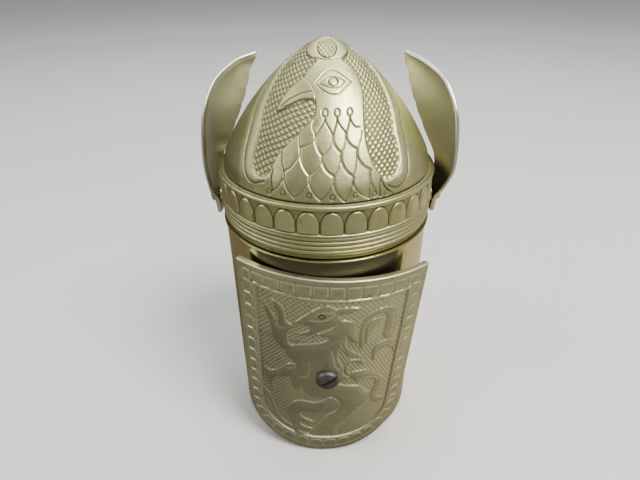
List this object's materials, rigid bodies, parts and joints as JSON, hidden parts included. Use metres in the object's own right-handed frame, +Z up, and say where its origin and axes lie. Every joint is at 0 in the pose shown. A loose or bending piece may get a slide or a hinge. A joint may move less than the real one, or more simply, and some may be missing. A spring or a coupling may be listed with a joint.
{
  "type": "lidded canister",
  "caption": "Round brass canister with a lift-out cup, a curved shield screwed to its front and a lift-off lid shaped as a pointed winged helmet.",
  "frame": {"origin": "centre of the foot pad's underside, on the body's axis", "axes": "+Z up along the body's axis; -Y towards the shield; +X to the right seen from the shield's side"},
  "size_m": [0.0666, 0.0614, 0.1171],
  "materials": {
    "felt": "plain green wool felt",
    "brass_base": "satin",
    "brass_body": "polished, lightly tarnished",
    "tinned_cup": "satin hot tinning on sheet brass",
    "screw_steel": "dull dark steel",
    "brass_shield": "satin, aged, dark in the engraving",
    "brass_collar": "satin",
    "brass_band": "satin, aged, dark in the grooves",
    "brass_dome": "satin, aged, dark in the engraving",
    "brass_wing": "satin sheet, bright at the edges",
    "brass_fittings": "satin, hammered"
  },
  "bodies": {
    "canister": {"body_tube": "brass_body", "base_disc": "brass_base", "foot_pad": "felt", "shield_screw": "screw_steel", "shield_washer": "screw_steel", "shield_nut": "screw_steel"},
    "shield": {"shield_plate": "brass_shield"},
    "cup": {"inner_cup": "tinned_cup"},
    "lid": {"lid_collar": "brass_collar", "crown_band": "brass_band", "helmet_dome": "brass_dome", "wing_left": "brass_wing", "wing_right": "brass_wing", "wing_pad_left": "brass_fittings", "wing_pad_right": "brass_fittings", "wing_rivet_left": "brass_fittings", "wing_rivet_right": "brass_fittings", "wing_burr_left": "brass_fittings", "wing_burr_right": "brass_fittings"}
  },
  "joints": [
    {"name": "lid_lift", "type": "slide", "parent": "canister", "child": "lid", "axis": [0, 0, 1], "range_m": [0, 0.15]},
    {"name": "cup_lift", "type": "slide", "parent": "canister", "child": "cup", "axis": [0, 0, 1], "range_m": [0, 0.075]},
    {"name": "shield_swivel", "type": "hinge", "parent": "canister", "child": "shield", "pos_m": [0, -0.029, 0.0336], "axis": [0, 1, 0], "range_deg": [-6, 1]}
  ],
  "couplings": [
    {"joint": "cup_lift", "follows": "lid_lift", "ratio": 0.5}
  ]
}
